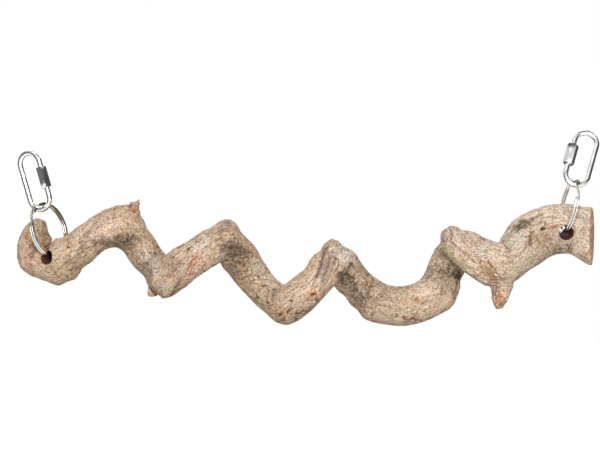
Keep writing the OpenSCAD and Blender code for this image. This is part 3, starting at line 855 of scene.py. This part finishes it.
def store_looks(vine):
    """Stores what the bark's material reads at each point."""
    points = points_of(vine)
    normals = normals_of(vine)
    grain, inner = grain_of(points)
    ragged = ragged_edge(grain)
    tint = np.zeros((len(points), 3))
    untinted = np.ones(len(points))
    for mark in MARKS:
        share = mark[7] * mark_share(points, normals, ragged, mark)
        tint = tint * (1 - share[:, None]) + share[:, None] * np.array(linear(mark[6])[:3])
        untinted *= 1 - share
    drilled = np.zeros(len(points))
    for at, axis, diameter in DRILLS:
        drilled = np.maximum(drilled, near_drill(points, at, axis) < diameter / 2 + DRILLED_REACH)
    saw_normal = SAW_FRAME.to_3x3() @ Vector((1, 0, 0))
    sawn = np.abs((points - np.array(SAW_FRAME.translation)) @ np.array(saw_normal)) < SAWN_REACH
    store(vine, "grain", grain)
    store(vine, "relief", bark_relief(grain, inner))
    store(vine, "inner_bend", inner)
    store(vine, "tint", tint)
    store(vine, "untinted", untinted)
    store(vine, "drilled", drilled)
    store(vine, "sawn", sawn.astype(float))


def make_vine():
    vine = copied_branch()
    soften_bends(vine)
    raise_bark(vine)
    saw_and_drill(vine)
    store_looks(vine)
    vine.data.materials.clear()
    vine.data.materials.append(BARK)
    shade_smooth(vine, VINE_SMOOTH_ANGLE)
    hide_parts("perch_branch")
    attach(vine, "perch")


# Split rings


def start_face(name, sides, radius, location=(0, 0, 0), turn=0):
    """Starts a piece as one flat face with equal sides, selected in edit mode."""
    deselect_all()
    bpy.ops.mesh.primitive_circle_add(
        vertices=sides, radius=radius, fill_type="NGON", location=location,
        rotation=(0, 0, math.radians(turn)),
    )
    piece = bpy.context.object
    piece.name = name
    piece.data.transform(piece.matrix_world)
    piece.matrix_world = Matrix()
    bpy.ops.object.mode_set(mode="EDIT")
    bpy.ops.mesh.select_mode(type="FACE")
    bpy.ops.mesh.select_all(action="SELECT")
    return piece


def select_end(piece, height):
    """Leaves only the faces selected whose points all lie at the given height."""
    bpy.ops.object.mode_set(mode="OBJECT")
    mesh = piece.data
    for item in (*mesh.vertices, *mesh.edges):
        item.select = False
    for face in mesh.polygons:
        face.select = all(abs(mesh.vertices[i].co.z - height) < MERGE_DISTANCE for i in face.vertices)
    bpy.ops.object.mode_set(mode="EDIT")
    bpy.ops.mesh.select_mode(type="FACE")


def extrude(height, wider=1):
    """Extrudes the selected face along Z and widens it."""
    bpy.ops.mesh.extrude_region_move(TRANSFORM_OT_translate={"value": (0, 0, height)})
    if wider != 1:
        bpy.ops.transform.resize(value=(wider, wider, 1))


def close_mesh():
    """Joins the edited mesh's doubled points, turns its faces outwards and leaves edit mode."""
    bpy.ops.mesh.select_all(action="SELECT")
    bpy.ops.mesh.remove_doubles(threshold=MERGE_DISTANCE)
    bpy.ops.mesh.normals_make_consistent(inside=False)
    bpy.ops.object.mode_set(mode="OBJECT")


def make_split_ring(name, at, lean, turn):
    """Flat wire with rounded edges in two turns, which crosses over just before its own start."""
    deselect_all()
    bpy.ops.mesh.primitive_plane_add(size=2)
    ring = bpy.context.object
    ring.name = name
    bpy.ops.object.mode_set(mode="EDIT")
    bpy.ops.mesh.select_all(action="SELECT")
    bpy.ops.mesh.bevel(offset=1 - CORNER_SHARE, segments=RING_CORNER_STEPS, affect="VERTICES")
    bpy.ops.object.mode_set(mode="OBJECT")
    # The profile starts at the top of the ring, flat against the plane of X and Z
    ring.data.transform(
        Matrix.Translation((-RING_PITCH / 2, 0, RING_WIRE_RADIUS))
        @ Matrix.Rotation(math.radians(90), 4, "X")
        @ Matrix.Diagonal((RING_WIRE_WIDTH / 2, RING_WIRE_HEIGHT / 2, 1, 1))
    )
    bpy.ops.object.mode_set(mode="EDIT")
    bpy.ops.mesh.select_mode(type="FACE")
    bpy.ops.mesh.select_all(action="SELECT")

    def spin(degrees, steps):
        bpy.ops.mesh.spin(steps=steps, angle=math.radians(degrees), center=(0, 0, 0), axis=(-1, 0, 0))

    spin(CROSSING_START, TURN_STEPS)
    moved = 0
    for step in range(1, CROSSING_STEPS + 1):
        spin((CROSSING_END - CROSSING_START) / CROSSING_STEPS, 1)
        share = step / CROSSING_STEPS
        offset = RING_PITCH * share * share * (3 - 2 * share)
        bpy.ops.transform.translate(value=(offset - moved, 0, 0))
        moved = offset
    spin(RING_END - CROSSING_END, TURN_STEPS)
    close_mesh()
    ring.data.transform(leaned(at, lean, turn) @ Matrix.Rotation(math.radians(RING_START_ANGLE), 4, "X"))
    ring.data.materials.append(RING_STEEL)
    shade_smooth(ring, RING_SMOOTH_ANGLE)
    return ring


# Quick links, in their own frame: the middle of the bottom bow's wire is at the origin, the length
# runs up Z and the gate is on the +X leg, or on the -X leg where side is -1


def cut_thread(link, side):
    """Cuts a helix into the wire of both ends, from the gate's edge to near the leg."""
    points = points_of(link)
    x, y, z = points[:, 0] - side * BOW_RADIUS, points[:, 1], points[:, 2]
    reach = np.hypot(x, y)
    in_upper = (z > GATE_TOP - MERGE_DISTANCE) & (z < NUT_TOP - THREAD_RUN_OUT)
    in_lower = (z < GATE_BOTTOM + MERGE_DISTANCE) & (z > NUT_BOTTOM + THREAD_RUN_OUT)
    on_leg = (reach < LINK_WIRE / 2 + 0.1 * MM) & (reach > 0.5 * LINK_WIRE / 2)
    phase = (z / THREAD_PITCH - np.arctan2(y, x) / (2 * math.pi)) % 1
    at_gate = np.minimum(np.abs(z - GATE_TOP), np.abs(z - GATE_BOTTOM)) < GATE_EDGE_REACH
    cut_in = np.where(at_gate, THREAD_DEPTH, THREAD_DEPTH * np.abs(2 * phase - 1))
    scale = np.where((in_upper | in_lower) & on_leg, (reach - cut_in) / np.maximum(reach, 1e-9), 1)
    points[:, 0] = side * BOW_RADIUS + x * scale
    points[:, 1] = y * scale
    move_points(link, points)


def make_link(name, side, matrix):
    """Round wire bent into a long loop, open at the gate, with a helical thread on both ends."""
    start = LINK_RISE / 2
    link = start_face(name, WIRE_SIDES, LINK_WIRE / 2, (-side * BOW_RADIUS, 0, start))
    top = LINK_RISE - BOW_RADIUS
    for way, straight, bow_at, leg_end, gate_edge in (
        (1, top - start, top, NUT_TOP, GATE_TOP),
        (-1, start - BOW_RADIUS, BOW_RADIUS, NUT_BOTTOM, GATE_BOTTOM),
    ):
        if way < 0:
            select_end(link, start)
        extrude(way * straight)
        bpy.ops.mesh.spin(
            steps=BOW_STEPS, angle=math.pi, center=(0, 0, bow_at), axis=(0, -way * side, 0)
        )
        extrude(leg_end - bow_at)
        thread_steps = round(abs(gate_edge - leg_end) / THREAD_PITCH * THREAD_TURN_STEPS)
        for _ in range(thread_steps):
            extrude((gate_edge - leg_end) / thread_steps)
    close_mesh()
    cut_thread(link, side)
    link.data.transform(matrix)
    link.data.materials.append(LINK_STEEL)
    shade_smooth(link, LINK_SMOOTH_ANGLE)
    return link


def make_nut(name, side, matrix):
    """Long hexagonal nut: a bar with its ends turned to a cone, drilled and countersunk."""
    corner_radius = NUT_FLATS / math.cos(math.radians(30)) / 2
    face_radius = NUT_FACE_SHARE * NUT_FLATS / 2
    cone_height = (corner_radius - face_radius) * math.tan(math.radians(30))
    bore_radius = LINK_WIRE / 2 + NUT_CLEARANCE
    nut = start_face(name, 6, corner_radius, turn=90)
    extrude(NUT_LENGTH)
    close_mesh()

    blank = start_face("turned_blank", NUT_TURNING_SIDES, face_radius)
    wider = BLANK_SHARE * corner_radius / face_radius
    extrude(cone_height, wider)
    extrude(NUT_LENGTH - 2 * cone_height)
    extrude(cone_height, 1 / wider)
    close_mesh()
    cut(nut, blank, "INTERSECT")

    drill = start_face("nut_drill", WIRE_SIDES, bore_radius + COUNTERSINK, (0, 0, -OVERRUN))
    wider = (bore_radius + COUNTERSINK) / bore_radius
    extrude(COUNTERSINK, 1 / wider)
    extrude(NUT_LENGTH - 2 * COUNTERSINK + 2 * OVERRUN)
    extrude(COUNTERSINK, wider)
    close_mesh()
    cut(nut, drill)
    apply_modifier(nut, "BEVEL", width=NUT_BEVEL, segments=2, limit_method="ANGLE",
                   angle_limit=math.radians(NUT_BEVEL_ANGLE))
    nut.data.transform(matrix @ Matrix.Translation((side * BOW_RADIUS, 0, NUT_BOTTOM)))
    nut.data.materials.append(NUT_STEEL)
    shade_smooth(nut, NUT_SMOOTH_ANGLE)
    return nut


make_vine()

RING_PLACES = {
    "left": (LEFT_RING_CENTRE, LEFT_RING_LEAN, LEFT_RING_TURN),
    "right": (RIGHT_RING_CENTRE, RIGHT_RING_LEAN, RIGHT_RING_TURN),
}
for hand, (at, lean, turn) in RING_PLACES.items():
    ring = make_split_ring(hand + "_split_ring", at, lean, turn)
    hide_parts(hand + "_ring")
    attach(ring, "ring_" + hand)

LINK_PLACES = {
    "left": (1, leaned(LEFT_BOW, LEFT_LINK_LEAN, LEFT_LINK_TURN)),
    "right": (-1, leaned(RIGHT_BOW, RIGHT_LINK_LEAN, RIGHT_LINK_TURN, RIGHT_LINK_NOD)),
}
for hand, (side, matrix) in LINK_PLACES.items():
    link = make_link(hand + "_quick_link", side, matrix)
    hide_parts(hand + "_link")
    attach(link, "link_" + hand)
    nut = make_nut(hand + "_sleeve_nut", side, matrix)
    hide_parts(hand + "_link_nut")
    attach(nut, "nut_" + hand)

# Stage: a pale floor under the perch, soft lamps and a white world. The floor and the world are
# brighter where they are seen, straight or in the steel, than in the light that they give.
FLOOR_SIZE = 8
FLOOR_PLACE = (0.2, 0, -0.30)
FLOOR_GLOW = 0.72
WORLD_LIGHT = 0.34
WORLD_SEEN = 1.0


def seen_share(tree):
    """1 for a ray that is seen, straight, mirrored or through something, and 0 for other light."""
    ray = add_node(tree, "ShaderNodeLightPath")
    seen = calculated(tree, "MAXIMUM", ray.outputs["Is Camera Ray"], ray.outputs["Is Glossy Ray"])
    return calculated(tree, "MAXIMUM", seen, ray.outputs["Is Transmission Ray"])


floor_material, floor_tree = new_material("white_floor")
matt = add_node(floor_tree, "ShaderNodeBsdfDiffuse", {"Color": linear("#E6E6E4")})
bounce = add_node(floor_tree, "ShaderNodeBsdfDiffuse", {"Color": linear("#A6A4A0")})
glow = add_node(floor_tree, "ShaderNodeEmission", {"Color": (1, 1, 1, 1), "Strength": FLOOR_GLOW})
lifted = add_node(floor_tree, "ShaderNodeAddShader", {0: matt.outputs[0], 1: glow.outputs[0]})
chosen = add_node(floor_tree, "ShaderNodeMixShader",
                  {0: seen_share(floor_tree), 1: bounce.outputs[0], 2: lifted.outputs[0]})
add_node(floor_tree, "ShaderNodeOutputMaterial", {"Surface": chosen.outputs[0]})
deselect_all()
bpy.ops.mesh.primitive_plane_add(size=FLOOR_SIZE, location=FLOOR_PLACE)
floor = bpy.context.object
floor.name = "studio_floor"
floor.data.materials.append(floor_material)

world = bpy.data.worlds.new("white_studio")
bpy.context.scene.world = world
world.use_nodes = True
world_tree = world.node_tree
world_tree.nodes.clear()
strength = add_node(world_tree, "ShaderNodeMapRange",
                    {0: seen_share(world_tree), 3: WORLD_LIGHT, 4: WORLD_SEEN})
sky = add_node(world_tree, "ShaderNodeBackground", {"Color": (1, 1, 1, 1), "Strength": strength.outputs[0]})
add_node(world_tree, "ShaderNodeOutputWorld", {"Surface": sky.outputs[0]})


def soft_lamp(name, place, aim, size, power):
    data = bpy.data.lights.new(name, "AREA")
    data.shape = "RECTANGLE"
    data.size, data.size_y = size
    data.energy = power
    lamp = bpy.data.objects.new(name, data)
    bpy.context.scene.collection.objects.link(lamp)
    lamp.location = place
    lamp.rotation_euler = (Vector(aim) - Vector(place)).to_track_quat("-Z", "Y").to_euler()


# Dark cards that only the steel reflects, as a studio sets them, draw dark lines on the bright wire:
# middle, the point each faces, width and height in metres, and colour
DARK_CARDS = [
    ((-0.62, -0.25, 0.11), (0.00, -0.25, 0.11), 1.2, 0.8, "#86868A"),
    ((1.30, 0.10, 0.15), (0.00, 0.10, 0.05), 2.4, 1.3, "#58585A"),
    ((0.20, 0.75, 1.00), (0.20, 0.75, 0.00), 2.0, 1.2, "#5C5C5E"),
    ((0.55, -0.30, 1.00), (0.55, -0.30, 0.00), 0.6, 0.9, "#6C6C6E"),
    ((0.20, 0.55, -0.28), (0.20, 0.55, 1.00), 1.4, 0.8, "#5C5C5E"),
]
for place, aim, width, height, shade in DARK_CARDS:
    card_material, card_tree = new_material("dark_card")
    card_shade = add_node(card_tree, "ShaderNodeEmission", {"Color": linear(shade)})
    add_node(card_tree, "ShaderNodeOutputMaterial", {"Surface": card_shade.outputs[0]})
    deselect_all()
    bpy.ops.mesh.primitive_plane_add(size=1)
    card = bpy.context.object
    card.name = "dark_card"
    card.data.transform(
        Matrix.Translation(place)
        @ turned_to(Vector(aim) - Vector(place), "Z", "Y")
        @ Matrix.Diagonal((width, height, 1, 1))
    )
    card.visible_camera = False
    card.visible_diffuse = False
    card.visible_shadow = False
    card.visible_transmission = False
    card.data.materials.append(card_material)

PERCH_MIDDLE = (0.19, 0, -0.07)
soft_lamp("top_lamp", (0.10, -0.55, 1.25), PERCH_MIDDLE, (1.4, 0.9), 2.5)
soft_lamp("front_lamp", (0.28, -1.8, 0.40), PERCH_MIDDLE, (1.2, 1.0), 41)
soft_lamp("back_lamp", (0.10, 1.7, 0.75), PERCH_MIDDLE, (1.2, 0.6), 28)

# Camera, level and square to the perch. Its lens and sensor are in millimetres.
CAMERA_PLACE = (0.1892, -1.6, -0.048)
CAMERA_LENS = 138.24
SENSOR_WIDTH = 36
camera_data = bpy.data.cameras.new("camera")
camera_data.sensor_width = SENSOR_WIDTH
camera_data.lens = CAMERA_LENS
camera = bpy.data.objects.new("camera", camera_data)
bpy.context.scene.collection.objects.link(camera)
camera.location = CAMERA_PLACE
camera.rotation_euler = (math.radians(90), 0, 0)
bpy.context.scene.camera = camera
bpy.context.scene.view_settings.view_transform = "Standard"
